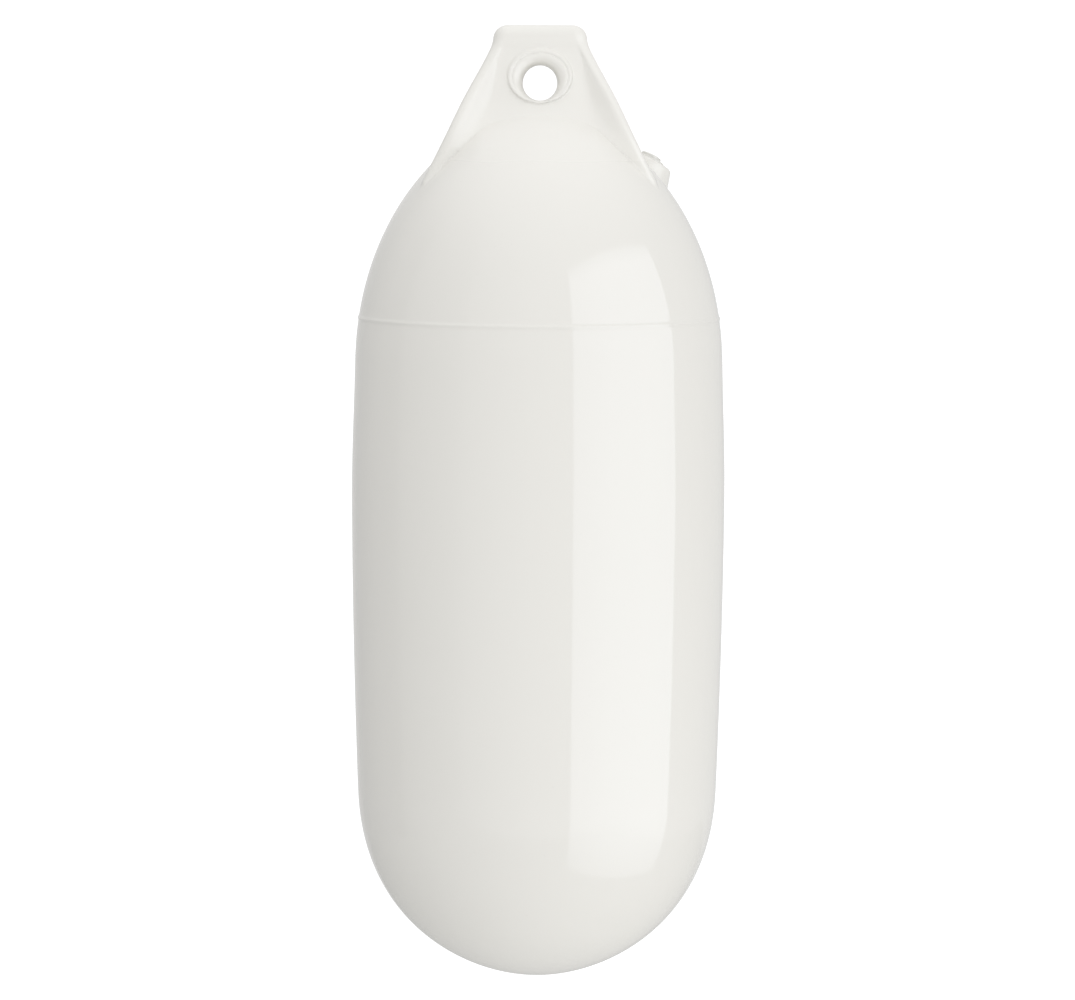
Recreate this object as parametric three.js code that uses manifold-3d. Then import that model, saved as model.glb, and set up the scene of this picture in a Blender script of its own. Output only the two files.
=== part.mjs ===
// A small cylindrical marker buoy: an inflated vinyl moulding with one rope eye on top and a
// screw valve in a boss on its shoulder.
// Millimetres, +Z up along the buoy. The origin is the centre of the rope eye, whose hole runs
// along Y, so the trapezoid of the lug lies in the XZ plane.

import * as THREE from 'three';
import { mergeVertices } from 'three/addons/utils/BufferGeometryUtils.js';
import Module from 'manifold-3d';

const wasm = await Module();
wasm.setup();

// Body outline: heights from the eye's centre, radii from the axis
const APEX_Z = -11.6;
const APEX_FULLNESS = 33;
const SHOULDER_Z = -110;
const SHOULDER_RADIUS = 73.4;
const SHOULDER_FULLNESS = 60;
const BELLY_Z = -165;
const BELLY_RADIUS = 74.8;
const BELLY_FULLNESS = 39.5;
const BODY_LENGTH = 348.3;
const BOTTOM_Z = APEX_Z - BODY_LENGTH;
const BOTTOM_FULLNESS = 22;
const HEEL_HEIGHT = 75.9;
const HEEL_Z = BOTTOM_Z + HEEL_HEIGHT;
const HEEL_RADIUS = 72.6;
const HEEL_FULLNESS = 59.4;
const SHOULDER_SLOPE = 0.022;
const HEEL_SLOPE = 0.036;
const BODY_SIDES = 64;

// Parting ridge, left where the two halves of the mould met
const SEAM_Z = -92.6;
const SEAM_WIDTH = 1.8;
const SEAM_PROUD = 0.35;

// Lug outline, seen from the front: rounded top corners, a short neck and spreading sides
const LUG_TOP_Z = 22.6;
const LUG_TOP_HALF_WIDTH = 18.2;
const LUG_CORNER_RADIUS = 5;
const LUG_NECK_Z = 15.4;
const LUG_SPREAD = 0.51;
const LUG_BOW = 0.6;
const LUG_BOW_Z = -6;
const LUG_BOW_REACH = 12;
const LUG_FOOT_Z = -41;
const LUG_TUCK = 0.6;
const LUG_BASE_Z = -50;

// Lug depth: a crest along each side, and between the crests a web that leans out going down
const CREST_TOP_DEPTH = 8;
const CREST_FOOT_DEPTH = 23.5;
const CREST_HIGH_Z = 20;
const CREST_LOW_Z = -24;
const TOP_EDGE_RADIUS = 4.6;
const CREST_WIDTH = 3.7;
const CREST_EDGE_RADIUS = 2.8;
const WEB_HALF_WIDTH = 18.1;
const WEB_SPREAD = 0.154;
const WEB_LEAST_SLOPE_WIDTH = 1;
const WEB_TOP_Z = 14;
const WEB_LOW_Z = -26;
const WEB_TOP_DEPTH = 8.3;
const WEB_LEAN = 0.2;
const WEB_CURL = 0.006;
const WEB_CROWN_RADIUS = 70;
const WEB_CROWN_HIGH_Z = 12;
const WEB_CROWN_LOW_Z = -10;
const BAR_LOW_Z = 10.5;
const BAR_HIGH_Z = 18;

// Rope eye: ovals in the plane of the lug, each a centre height, a half-width and a half-height
const THROAT = [0, 6.8, 7];
const MOUTH = [0.8, 10.3, 9.1];
const COLLAR = [1.7, 13, 10.9];
const COLLAR_PROUD = 1.3;
const COLLAR_EDGE_RADIUS = 0.9;
const FLARE_POWER = 3;
const EYE_SIDES = 48;

// Valve boss on the shoulder, behind the lug's right foot
const BOSS_X = 44.4;
const BOSS_Y = 25;
const BOSS_FACE_Z = -30.4;
const BOSS_LEAN = THREE.MathUtils.degToRad(26);
const BOSS_LEAN_BACK = THREE.MathUtils.degToRad(8);
const BOSS_TOP_RADIUS = 9.8;
const BOSS_DRAFT = THREE.MathUtils.degToRad(15);
const BOSS_HEIGHT = 20;
const BOSS_EDGE_RADIUS = 1.2;
const ROUND_SIDES = 36;

// Valve: a flanged bush in the boss and a slotted screw that closes it
const CLEARANCE = 0.3;
const BUSH_FLANGE_RADIUS = 6;
const BUSH_FLANGE_THICKNESS = 0.8;
const BUSH_RADIUS = 4.6;
const BUSH_LENGTH = 9;
const BUSH_EDGE = 0.3;
const BUSH_END_EDGE = 0.7;
const SCREW_HEAD_RADIUS = 4.2;
const SCREW_HEAD_THICKNESS = 1.3;
const SCREW_HEAD_EDGE = 0.5;
const SCREW_RADIUS = 2.4;
const SCREW_LENGTH = 6.5;
const SCREW_END_EDGE = 0.5;
const SLOT_WIDTH = 1.4;
const SLOT_DEPTH = 0.8;

const vinyl = new THREE.MeshStandardMaterial({ color: 0xe9e9e4, roughness: 0.28, metalness: 0 });
const nylon = new THREE.MeshStandardMaterial({ color: 0xc9c9c2, roughness: 0.45, metalness: 0 });

// Shared vertices merged and collapsed triangles dropped, so that each edge joins two faces.
function closedGeometry(geometry) {
  const bare = geometry.clone();
  bare.deleteAttribute('normal');
  bare.deleteAttribute('uv');
  const merged = mergeVertices(bare, 1e-4);
  const index = Array.from(merged.index.array);
  const kept = [];
  for (let i = 0; i < index.length; i += 3) {
    const [a, b, c] = index.slice(i, i + 3);
    if (a !== b && b !== c && c !== a) kept.push(a, b, c);
  }
  merged.setIndex(kept);
  return merged;
}

function solidFrom(geometry) {
  const closed = closedGeometry(geometry);
  return new wasm.Manifold(new wasm.Mesh({
    numProp: 3,
    vertProperties: new Float32Array(closed.attributes.position.array),
    triVerts: new Uint32Array(closed.index.array),
  }));
}

function geometryFrom(solid) {
  const mesh = solid.getMesh();
  const geometry = new THREE.BufferGeometry();
  geometry.setAttribute('position', new THREE.BufferAttribute(mesh.vertProperties, 3));
  geometry.setIndex(new THREE.BufferAttribute(mesh.triVerts, 1));
  geometry.computeVertexNormals();
  return geometry;
}

// A revolved solid about its own Y axis, from [radius, height] pairs listed bottom to top.
function turned(pairs, sides) {
  return new THREE.LatheGeometry(pairs.map(([r, h]) => new THREE.Vector2(r, h)), sides);
}

// Body

// Four curves, tangent where they meet: dome, upper barrel, lower barrel and bottom.
function bodyCurves() {
  const v = (r, z) => new THREE.Vector2(r, z);
  const upper = (SHOULDER_Z - BELLY_Z) * 0.4;
  const lower = (BELLY_Z - HEEL_Z) * 0.26;
  return [
    new THREE.CubicBezierCurve(
      v(0, APEX_Z),
      v(APEX_FULLNESS, APEX_Z),
      v(SHOULDER_RADIUS - SHOULDER_SLOPE * SHOULDER_FULLNESS, SHOULDER_Z + SHOULDER_FULLNESS),
      v(SHOULDER_RADIUS, SHOULDER_Z)),
    new THREE.CubicBezierCurve(
      v(SHOULDER_RADIUS, SHOULDER_Z),
      v(SHOULDER_RADIUS + SHOULDER_SLOPE * upper, SHOULDER_Z - upper),
      v(BELLY_RADIUS, BELLY_Z + upper),
      v(BELLY_RADIUS, BELLY_Z)),
    new THREE.CubicBezierCurve(
      v(BELLY_RADIUS, BELLY_Z),
      v(BELLY_RADIUS, BELLY_Z - BELLY_FULLNESS),
      v(HEEL_RADIUS + HEEL_SLOPE * lower, HEEL_Z + lower),
      v(HEEL_RADIUS, HEEL_Z)),
    new THREE.CubicBezierCurve(
      v(HEEL_RADIUS, HEEL_Z),
      v(HEEL_RADIUS - HEEL_SLOPE * HEEL_FULLNESS, HEEL_Z - HEEL_FULLNESS),
      v(BOTTOM_FULLNESS, BOTTOM_Z),
      v(0, BOTTOM_Z)),
  ];
}

function sampledOutline(counts) {
  return bodyCurves().flatMap((curve, i) => curve.getPoints(counts[i]).slice(i === 0 ? 0 : 1));
}

const fineOutline = sampledOutline([120, 40, 60, 80]);

// Radius of the body at a height, 0 above the apex and below the bottom.
function bodyRadius(z) {
  if (z >= APEX_Z || z <= BOTTOM_Z) return 0;
  const i = fineOutline.findIndex((point) => point.y <= z);
  const above = fineOutline[i - 1];
  const below = fineOutline[i];
  return THREE.MathUtils.mapLinear(z, above.y, below.y, above.x, below.x);
}

function makeBody() {
  const halfWidth = SEAM_WIDTH / 2;
  const outline = sampledOutline([14, 4, 6, 10]).filter((p) => Math.abs(p.y - SEAM_Z) > SEAM_WIDTH);
  const ridge = [[halfWidth, 0], [halfWidth / 3, SEAM_PROUD], [-halfWidth / 3, SEAM_PROUD], [-halfWidth, 0]];
  const after = outline.findIndex((p) => p.y < SEAM_Z);
  const ridgePoints = ridge.map(([dz, proud]) => {
    return new THREE.Vector2(bodyRadius(SEAM_Z + dz) + proud, SEAM_Z + dz);
  });
  outline.splice(after, 0, ...ridgePoints);
  const geometry = new THREE.LatheGeometry(outline.reverse(), BODY_SIDES);
  return solidFrom(geometry.rotateX(Math.PI / 2));
}

// Lug

const cornerBase = LUG_TOP_Z - LUG_CORNER_RADIUS;
const topRoundBase = LUG_TOP_Z - TOP_EDGE_RADIUS;

// How far a quarter circle of this radius has drawn in at a rise above its base.
function drawnIn(rise, radius) {
  return radius - Math.sqrt(Math.max(radius ** 2 - Math.max(rise, 0) ** 2, 0));
}

// Half-width of the lug's outline: the sides spread from the neck to the foot with a slight bow,
// and tuck back into the dome below the foot.
function lugHalfWidth(z) {
  const spread = LUG_SPREAD * Math.max(LUG_NECK_Z - Math.max(z, LUG_FOOT_Z), 0);
  const bow = LUG_BOW * Math.exp(-(((z - LUG_BOW_Z) / LUG_BOW_REACH) ** 2));
  const tuck = LUG_TUCK * Math.max(LUG_FOOT_Z - z, 0);
  return LUG_TOP_HALF_WIDTH + spread + bow - tuck - drawnIn(z - cornerBase, LUG_CORNER_RADIUS);
}

function crestHalfDepth(z) {
  const share = THREE.MathUtils.smoothstep(-z, -CREST_HIGH_Z, -CREST_LOW_Z);
  return THREE.MathUtils.lerp(CREST_TOP_DEPTH, CREST_FOOT_DEPTH, share);
}

// The web leans out faster the lower it gets, and falls away from its middle line lower down.
function webHalfDepth(x, z) {
  const below = WEB_TOP_Z - THREE.MathUtils.clamp(z, WEB_LOW_Z, WEB_TOP_Z);
  const crown = THREE.MathUtils.smoothstep(-z, -WEB_CROWN_HIGH_Z, -WEB_CROWN_LOW_Z);
  const fall = crown * x ** 2 / (2 * WEB_CROWN_RADIUS);
  return WEB_TOP_DEPTH + WEB_LEAN * below + WEB_CURL * below ** 2 - fall;
}

// Where the slope up to the crest starts and ends.
function slopeEdges(z) {
  const crest = lugHalfWidth(z) - CREST_WIDTH;
  return [Math.min(WEB_HALF_WIDTH - WEB_SPREAD * z, crest - WEB_LEAST_SLOPE_WIDTH), crest];
}

// Web in the middle, crests at the sides, a bar across the top, and a rounded top edge.
function lugHalfDepth(x, z) {
  const [low, high] = slopeEdges(z);
  const beside = THREE.MathUtils.clamp((x - low) / (high - low), 0, 1);
  const above = THREE.MathUtils.smoothstep(z, BAR_LOW_Z, BAR_HIGH_Z);
  const share = 1 - (1 - beside) * (1 - above);
  const depth = THREE.MathUtils.lerp(webHalfDepth(x, z), crestHalfDepth(z), share);
  return depth - drawnIn(z - topRoundBase, TOP_EDGE_RADIUS);
}

// One quarter of a level section, from the middle of the web out to the middle of the side.
function sectionQuarter(z) {
  const width = lugHalfWidth(z);
  const [low, high] = slopeEdges(z);
  const edge = Math.min(CREST_EDGE_RADIUS, lugHalfDepth(high, z) * 0.9);
  const across = [0, 0.25, 0.5, 0.75, 1].map((share) => low * share);
  for (const share of [0.33, 0.67]) across.push(THREE.MathUtils.lerp(low, high, share));
  const points = across.map((x) => [x, lugHalfDepth(x, z)]);
  const depth = lugHalfDepth(width, z);
  for (const turn of [90, 60, 30, 0]) {
    const angle = THREE.MathUtils.degToRad(turn);
    points.push([width - edge + edge * Math.cos(angle), depth - edge + edge * Math.sin(angle)]);
  }
  points.push([width, 0]);
  return points;
}

// The quarter mirrored into a whole ring, anticlockwise as seen from above.
function sectionRing(z) {
  const quarter = sectionQuarter(z);
  const inner = quarter.slice(1, -1);
  const right = quarter[quarter.length - 1];
  const middle = quarter[0];
  return [
    right,
    ...inner.slice().reverse(),
    middle,
    ...inner.map(([x, y]) => [-x, y]),
    [-right[0], 0],
    ...inner.slice().reverse().map(([x, y]) => [-x, -y]),
    [0, -middle[1]],
    ...inner.map(([x, y]) => [x, -y]),
  ].map(([x, y]) => new THREE.Vector3(x, y, z));
}

// Rings of equal length joined into a closed solid with flat fans at both ends.
function lofted(rings) {
  const size = rings[0].length;
  const points = rings.flat();
  const faces = [];
  for (let level = 0; level + 1 < rings.length; level += 1) {
    for (let i = 0; i < size; i += 1) {
      const next = (i + 1) % size;
      const low = level * size;
      const high = low + size;
      faces.push(low + i, low + next, high + next, low + i, high + next, high + i);
    }
  }
  for (const [level, turn] of [[0, -1], [rings.length - 1, 1]]) {
    const ring = rings[level];
    const centre = ring.reduce((sum, p) => sum.add(p), new THREE.Vector3()).divideScalar(size);
    points.push(centre);
    const hub = points.length - 1;
    for (let i = 0; i < size; i += 1) {
      const pair = [level * size + i, level * size + (i + 1) % size];
      if (turn < 0) pair.reverse();
      faces.push(hub, ...pair);
    }
  }
  const geometry = new THREE.BufferGeometry().setFromPoints(points);
  geometry.setIndex(faces);
  return geometry;
}

function makeLug() {
  const rounding = [0, 20, 40, 56, 70, 80, 86].map((turn) => THREE.MathUtils.degToRad(turn));
  const levels = [
    ...evenly(LUG_BASE_Z, LUG_FOOT_Z, 3),
    ...evenly(LUG_FOOT_Z, LUG_NECK_Z, 20).slice(1),
    ...rounding.map((angle) => topRoundBase + TOP_EDGE_RADIUS * Math.sin(angle)),
  ];
  return solidFrom(lofted(levels.map(sectionRing)));
}

function evenly(start, end, steps) {
  return Array.from({ length: steps + 1 }, (_, i) => THREE.MathUtils.lerp(start, end, i / steps));
}

// Rope eye

function collarFace(z) {
  return webHalfDepth(0, z) + COLLAR_PROUD;
}

// A ring of points on an oval, drawn in by an inset; depthAt gives each point's Y from its height.
function ovalRing([rise, wide, tall], inset, depthAt) {
  return Array.from({ length: EYE_SIDES }, (_, i) => {
    const angle = (i / EYE_SIDES) * 2 * Math.PI;
    const z = rise + (tall - inset) * Math.cos(angle);
    return new THREE.Vector3((wide - inset) * Math.sin(angle), depthAt(z), z);
  });
}

// The collar runs through the lug, from one rounded rim to the other.
function makeCollar() {
  const rim = [0, 35, 65, 90].map((turn) => {
    const angle = THREE.MathUtils.degToRad(turn);
    const inset = COLLAR_EDGE_RADIUS * (1 - Math.cos(angle));
    return [inset, COLLAR_EDGE_RADIUS * (1 - Math.sin(angle))];
  });
  const back = rim.map(([inset, under]) => ovalRing(COLLAR, inset, (z) => collarFace(z) - under));
  const front = rim.map(([inset, under]) => ovalRing(COLLAR, inset, (z) => under - collarFace(z)));
  return solidFrom(lofted([...front.reverse(), ...back]));
}

// The bore runs from mouth to mouth and is narrowest in the middle.
function makeBore() {
  const half = [0.3, 0.5, 0.65, 0.8, 0.9, 1, 1.2];
  const stations = [...half.map((station) => -station).reverse(), 0, ...half];
  return solidFrom(lofted(stations.map((station) => {
    const share = Math.abs(station) ** FLARE_POWER;
    const oval = THROAT.map((size, i) => THREE.MathUtils.lerp(size, MOUTH[i], share));
    return ovalRing(oval, 0, (z) => station * collarFace(z));
  })));
}

// Valve boss

const bossAxis = new THREE.Vector3(Math.tan(BOSS_LEAN), Math.tan(BOSS_LEAN_BACK), 1).normalize();
const bossTurn = new THREE.Quaternion().setFromUnitVectors(new THREE.Vector3(0, 1, 0), bossAxis);
const bossFace = new THREE.Vector3(BOSS_X, BOSS_Y, BOSS_FACE_Z);

function onBoss(geometry) {
  return geometry.applyQuaternion(bossTurn).translate(bossFace.x, bossFace.y, bossFace.z);
}

function bossSolid() {
  const base = BOSS_TOP_RADIUS + BOSS_HEIGHT * Math.tan(BOSS_DRAFT);
  return turned([
    [0, -BOSS_HEIGHT],
    [base, -BOSS_HEIGHT],
    [BOSS_TOP_RADIUS + BOSS_EDGE_RADIUS * Math.tan(BOSS_DRAFT), -BOSS_EDGE_RADIUS],
    [BOSS_TOP_RADIUS - BOSS_EDGE_RADIUS * 0.29, -BOSS_EDGE_RADIUS * 0.29],
    [BOSS_TOP_RADIUS - BOSS_EDGE_RADIUS, 0],
    [0, 0],
  ], ROUND_SIDES);
}

function valveBore() {
  const depth = BUSH_LENGTH + CLEARANCE;
  const radius = BUSH_RADIUS + CLEARANCE;
  return turned([[0, -depth], [radius, -depth], [radius, 2], [0, 2]], ROUND_SIDES);
}

function makeBuoyBody() {
  let solid = makeBody();
  solid = solid.add(makeLug());
  solid = solid.add(solidFrom(onBoss(bossSolid())));
  solid = solid.add(makeCollar());
  solid = solid.subtract(makeBore());
  solid = solid.subtract(solidFrom(onBoss(valveBore())));
  return geometryFrom(solid);
}

// Valve pieces, each about its own Y axis with the boss's face at 0

function makeValveBush() {
  const face = CLEARANCE + BUSH_FLANGE_THICKNESS;
  const bore = SCREW_RADIUS + CLEARANCE;
  const boreEnd = face + CLEARANCE - SCREW_LENGTH - CLEARANCE;
  return turned([
    [0, -BUSH_LENGTH],
    [BUSH_RADIUS - BUSH_END_EDGE, -BUSH_LENGTH],
    [BUSH_RADIUS, -BUSH_LENGTH + BUSH_END_EDGE],
    [BUSH_RADIUS, CLEARANCE],
    [BUSH_FLANGE_RADIUS, CLEARANCE],
    [BUSH_FLANGE_RADIUS, face - BUSH_EDGE],
    [BUSH_FLANGE_RADIUS - BUSH_EDGE, face],
    [bore, face],
    [bore, boreEnd],
    [0, boreEnd],
  ], ROUND_SIDES);
}

function makeValveScrew() {
  const seat = BUSH_FLANGE_THICKNESS + CLEARANCE * 2;
  const top = seat + SCREW_HEAD_THICKNESS;
  const screw = solidFrom(turned([
    [0, seat - SCREW_LENGTH],
    [SCREW_RADIUS - SCREW_END_EDGE, seat - SCREW_LENGTH],
    [SCREW_RADIUS, seat - SCREW_LENGTH + SCREW_END_EDGE],
    [SCREW_RADIUS, seat],
    [SCREW_HEAD_RADIUS, seat],
    [SCREW_HEAD_RADIUS, top - SCREW_HEAD_EDGE],
    [SCREW_HEAD_RADIUS - SCREW_HEAD_EDGE, top],
    [0, top],
  ], ROUND_SIDES));
  const slot = new THREE.BoxGeometry(SCREW_HEAD_RADIUS * 3, SLOT_DEPTH * 2, SLOT_WIDTH);
  return geometryFrom(screw.subtract(solidFrom(slot.translate(0, top, 0))));
}

function named(name, geometry, material) {
  const mesh = new THREE.Mesh(geometry, material);
  mesh.name = name;
  return mesh;
}

const valve = new THREE.Group();
valve.position.copy(bossFace);
valve.quaternion.copy(bossTurn);
valve.add(named('valve_bush', makeValveBush(), nylon.clone()));
valve.add(named('valve_screw', makeValveScrew(), nylon));

const buoy = new THREE.Group();
buoy.add(named('buoy_body', makeBuoyBody(), vinyl));
buoy.add(valve);

export default buoy;
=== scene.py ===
# %% [markdown]
# # A vinyl marker buoy
#
# The object is an inflated buoy, moulded in one piece from soft glossy vinyl: a round body, a
# flared lug with a rope eye on top, and a boss on its shoulder that holds a screw valve. The packed
# model gives its frame and its facetted solids. In this lesson the facets are replaced by smooth
# skins of the same form, and every surface gets a finish.

import math

import bpy
import numpy as np
from mathutils import Matrix, Vector


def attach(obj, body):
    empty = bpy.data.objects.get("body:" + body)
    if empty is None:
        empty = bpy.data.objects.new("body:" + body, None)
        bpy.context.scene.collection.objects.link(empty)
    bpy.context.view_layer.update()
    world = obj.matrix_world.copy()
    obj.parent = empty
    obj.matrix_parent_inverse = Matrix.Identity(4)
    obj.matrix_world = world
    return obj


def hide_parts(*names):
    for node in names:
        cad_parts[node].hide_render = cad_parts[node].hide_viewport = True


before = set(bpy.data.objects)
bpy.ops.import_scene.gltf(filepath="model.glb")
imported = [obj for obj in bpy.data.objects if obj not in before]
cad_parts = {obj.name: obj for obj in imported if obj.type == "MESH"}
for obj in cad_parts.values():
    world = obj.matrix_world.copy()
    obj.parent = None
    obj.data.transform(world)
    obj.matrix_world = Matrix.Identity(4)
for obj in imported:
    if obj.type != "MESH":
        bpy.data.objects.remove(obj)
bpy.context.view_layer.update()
MM = 0.001

# %% [markdown]
# ## The camera
#
# The photograph was taken from a little over a metre, level with the feet of the lug, so the
# parting ridge sags and the rope eye is seen slightly from below. The camera comes first, because
# every later choice is judged through it. It aims at the middle of the buoy, as a photographer
# would, and only a small shift settles the framing.

# %% Camera
IMAGE_WIDTH = 1075
CAMERA_DISTANCE = 1200 * MM
CAMERA_HEIGHT = -30 * MM
AIM_HEIGHT = -166.2 * MM
CAMERA_ROLL = 0.00454
MM_A_PIXEL = 0.4023
SENSOR = 36.0
VIEW_CENTRE_X = 538.1

camera_data = bpy.data.cameras.new("camera")
camera = bpy.data.objects.new("camera", camera_data)
bpy.context.scene.collection.objects.link(camera)
camera.location = Vector((0, -CAMERA_DISTANCE, CAMERA_HEIGHT))
aim = Vector((0, 0, AIM_HEIGHT)) - camera.location
level = aim.to_track_quat("-Z", "Y").to_matrix()
camera.rotation_euler = (level @ Matrix.Rotation(CAMERA_ROLL, 3, "Z")).to_euler()
camera_data.sensor_width = SENSOR
camera_data.lens = SENSOR * aim.length / (IMAGE_WIDTH * MM_A_PIXEL * MM)
camera_data.shift_x = (IMAGE_WIDTH / 2 - VIEW_CENTRE_X) / IMAGE_WIDTH
camera_data.clip_end = 50
bpy.context.scene.camera = camera
print(f"lens {camera_data.lens:.1f} mm")

# %% [markdown]
# ## One field for the whole moulding
#
# In the mould, body, lug, collar and boss flow into each other through fillets. Booleans between
# separate meshes leave hard seams there, and a glossy surface shows every one of them. So the
# moulding is described as a field instead: a function that is zero on the skin and negative inside,
# and that gives, close to the skin, the distance to it in millimetres. Two fields join through
# `rounded_join` and meet at an edge through `rounded_meet`, each with a fillet of a stated radius,
# just as a mould maker would ask for one. The next cells build the field up, one form at a time.

# %% Joining fields
def rounded_join(a, b, radius):
    """Union: the smaller distance, with a hollow quarter circle where both are under the radius."""
    u = np.maximum(radius - a, 0)
    v = np.maximum(radius - b, 0)
    return np.maximum(radius, np.minimum(a, b)) - np.hypot(u, v)


def rounded_meet(a, b, radius):
    """Intersection: the larger distance, with an outer quarter circle at the shared edge."""
    u = np.maximum(radius + a, 0)
    v = np.maximum(radius + b, 0)
    return np.minimum(-radius, np.maximum(a, b)) + np.hypot(u, v)


def ease(low, high, value):
    """0 below low, 1 above high, and a smooth S between: 3 t squared less 2 t cubed."""
    t = np.clip((value - low) / (high - low), 0, 1)
    return t * t * (3 - 2 * t)


print("two skins 1 mm away, joined with a 3 mm fillet:", rounded_join(1.0, 1.0, 3.0).round(2), "mm away")

# %% [markdown]
# ## The body
#
# The body is a surface of revolution. Its outline is four Bezier curves, tangent where they meet:
# the dome, the upper and lower barrel with a slight belly, and the rounded bottom. The field uses
# the square of the radius, which passes through zero at a steady slope at both poles, so the skin
# stays smooth there. A narrow bump on the outline is the ridge left by the parting of the mould.

# %% Body outline
APEX_Z, SHOULDER_Z, BELLY_Z, HEEL_Z, BOTTOM_Z = -11.6, -110.0, -165.0, -284.0, -359.9
SHOULDER_RADIUS, BELLY_RADIUS, HEEL_RADIUS = 73.4, 74.8, 72.6
SHOULDER_SLOPE, HEEL_SLOPE = 0.022, 0.036
APEX_FULLNESS, SHOULDER_FULLNESS, BELLY_FULLNESS = 33.0, 60.0, 39.5
HEEL_FULLNESS, BOTTOM_FULLNESS = 59.4, 22.0
UPPER_BARREL_FULLNESS, LOWER_BARREL_FULLNESS = 0.4, 0.26
SEAM_Z, SEAM_WIDTH, SEAM_PROUD, SEAM_STEEPNESS = -92.6, 1.8, 0.35, 1.5
OUTLINE_STEPS = 600


def bezier(a, b, c, d):
    """Points on a cubic Bezier curve: the four corners weighted by the cubic Bernstein terms."""
    t = np.linspace(0, 1, OUTLINE_STEPS)[:, None]
    s = 1 - t
    corners = [np.array(p) for p in (a, b, c, d)]
    weights = (s**3, 3 * s**2 * t, 3 * s * t**2, t**3)
    return sum(w * p for w, p in zip(weights, corners))


def body_outline():
    """Heights, squared radii and the slope of the squared radius, from the bottom to the apex."""
    upper = (SHOULDER_Z - BELLY_Z) * UPPER_BARREL_FULLNESS
    lower = (BELLY_Z - HEEL_Z) * LOWER_BARREL_FULLNESS
    dome = bezier(
        (0, APEX_Z), (APEX_FULLNESS, APEX_Z),
        (SHOULDER_RADIUS - SHOULDER_SLOPE * SHOULDER_FULLNESS, SHOULDER_Z + SHOULDER_FULLNESS),
        (SHOULDER_RADIUS, SHOULDER_Z))
    upper_barrel = bezier(
        (SHOULDER_RADIUS, SHOULDER_Z),
        (SHOULDER_RADIUS + SHOULDER_SLOPE * upper, SHOULDER_Z - upper),
        (BELLY_RADIUS, BELLY_Z + upper), (BELLY_RADIUS, BELLY_Z))
    lower_barrel = bezier(
        (BELLY_RADIUS, BELLY_Z), (BELLY_RADIUS, BELLY_Z - BELLY_FULLNESS),
        (HEEL_RADIUS + HEEL_SLOPE * lower, HEEL_Z + lower), (HEEL_RADIUS, HEEL_Z))
    bottom = bezier(
        (HEEL_RADIUS, HEEL_Z),
        (HEEL_RADIUS - HEEL_SLOPE * HEEL_FULLNESS, HEEL_Z - HEEL_FULLNESS),
        (BOTTOM_FULLNESS, BOTTOM_Z), (0, BOTTOM_Z))
    points = np.vstack([dome, upper_barrel[1:], lower_barrel[1:], bottom[1:]])[::-1]
    radius, height = points[:, 0], points[:, 1]
    even = np.linspace(BOTTOM_Z, APEX_Z, 4 * OUTLINE_STEPS)
    squared = np.interp(even, height, radius**2)
    return even, squared, np.gradient(squared, even)


outline_z, outline_squared, outline_slope = body_outline()


def body_field(x, y, z):
    """(r squared - R squared) over the length of that expression's gradient, plus the ridge."""
    squared = np.interp(z, outline_z, outline_squared)
    slope = np.interp(z, outline_z, outline_slope)
    squared = squared + slope * (z - np.clip(z, BOTTOM_Z, APEX_Z))
    ridge = SEAM_PROUD * np.exp(-SEAM_STEEPNESS * ((z - SEAM_Z) / (SEAM_WIDTH / 2)) ** 2)
    length = np.sqrt(4 * (x**2 + y**2) + slope**2 + 1)
    return (x**2 + y**2 - squared) / length - ridge


print(f"widest radius {math.sqrt(outline_squared.max()):.1f} mm")

# %% [markdown]
# ## The lug
#
# The lug is a tapered plate, wide at its feet and narrow on top. Seen from the front, two crests
# stand proud along its slanted sides and run over a thick top bar, and between them a thinner web
# leans outwards as it goes down. Its depth is therefore one function of x and z: web in the middle,
# crest at the sides, and a slope with soft bends between. The outline and the depth meet in rounded
# edges.

# %% Lug
LUG_TOP_Z, LUG_NECK_Z, LUG_FOOT_Z, LUG_BASE_Z = 22.6, 15.4, -41.0, -50.0
LUG_TOP_HALF_WIDTH, LUG_SPREAD, LUG_TUCK = 18.2, 0.51, 0.6
LUG_BOW, LUG_BOW_Z, LUG_BOW_REACH = 0.6, -6.0, 12.0
LUG_CORNER_RADIUS, NECK_SOFTNESS = 5.0, 2.5
CREST_TOP_DEPTH, CREST_FOOT_DEPTH, CREST_HIGH_Z, CREST_LOW_Z = 8.0, 23.5, 20.0, -24.0
TOP_EDGE_RADIUS, CREST_EDGE_RADIUS, CREST_WIDTH, CREST_SOFTNESS = 4.6, 2.8, 3.7, 0.22
LUG_FACE_SLOPE, TOP_EDGE_LOW_Z, TOP_EDGE_HIGH_Z = 0.4, 10.0, 19.0
WEB_HALF_WIDTH, WEB_SPREAD, WEB_LEAST_SLOPE_WIDTH = 18.1, 0.154, 1.0
WEB_TOP_Z, WEB_LOW_Z = 14.0, -26.0
WEB_TOP_DEPTH, WEB_LEAN, WEB_CURL = 8.3, 0.2, 0.006
WEB_CROWN_RADIUS, WEB_CROWN_HIGH_Z, WEB_CROWN_LOW_Z = 70.0, 12.0, -10.0
BAR_LOW_Z, BAR_HIGH_Z = 10.5, 18.0


def soft_ramp(value, softness):
    """A straight ramp from 0 to 1 whose two bends are rounded off: half a difference of roots."""
    return 0.5 * (np.hypot(value, softness) - np.hypot(value - 1, softness) + 1)


def lug_half_width(z):
    """A straight neck that turns softly into a spread going down, bowed a little outwards."""
    below = LUG_NECK_Z - z
    spread = LUG_SPREAD * 0.5 * (below + np.hypot(below, NECK_SOFTNESS))
    bow = LUG_BOW * np.exp(-(((z - LUG_BOW_Z) / LUG_BOW_REACH) ** 2))
    return LUG_TOP_HALF_WIDTH + spread + bow


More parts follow.
